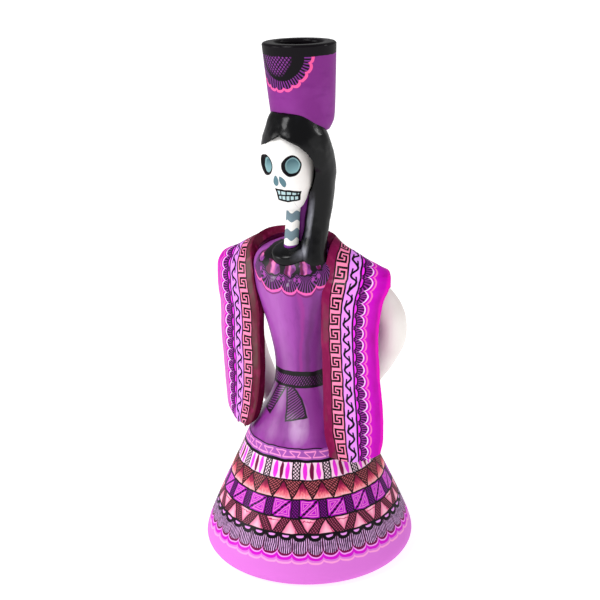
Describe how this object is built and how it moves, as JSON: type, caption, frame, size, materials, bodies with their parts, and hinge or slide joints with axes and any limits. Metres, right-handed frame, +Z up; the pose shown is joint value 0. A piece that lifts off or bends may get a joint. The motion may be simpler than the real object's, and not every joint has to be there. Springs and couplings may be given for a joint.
{
  "type": "day of the dead skeleton figure",
  "caption": "Painted clay candlestick: a skeleton woman in a bell skirt and patterned stole, hands on hips, whose tall hat is the candle socket.",
  "frame": {"origin": "centre of the hem's circle on the table", "axes": "+Z up, the figure faces -Y, and her left hand is towards +X"},
  "size_m": [0.115, 0.115, 0.278],
  "materials": {
    "purple_paint": "brushed purple paint under clear varnish, with fine painted borders",
    "stole_paint": "magenta, pink and maroon painted borders under glossy varnish",
    "black_paint": "glossy black paint",
    "bone_paint": "white paint with grey-blue and black details under varnish",
    "bare_clay": "unpainted fired clay on the underside and in the socket"
  },
  "bodies": {
    "root": {"skeleton_candlestick": "purple_paint"}
  },
  "joints": []
}
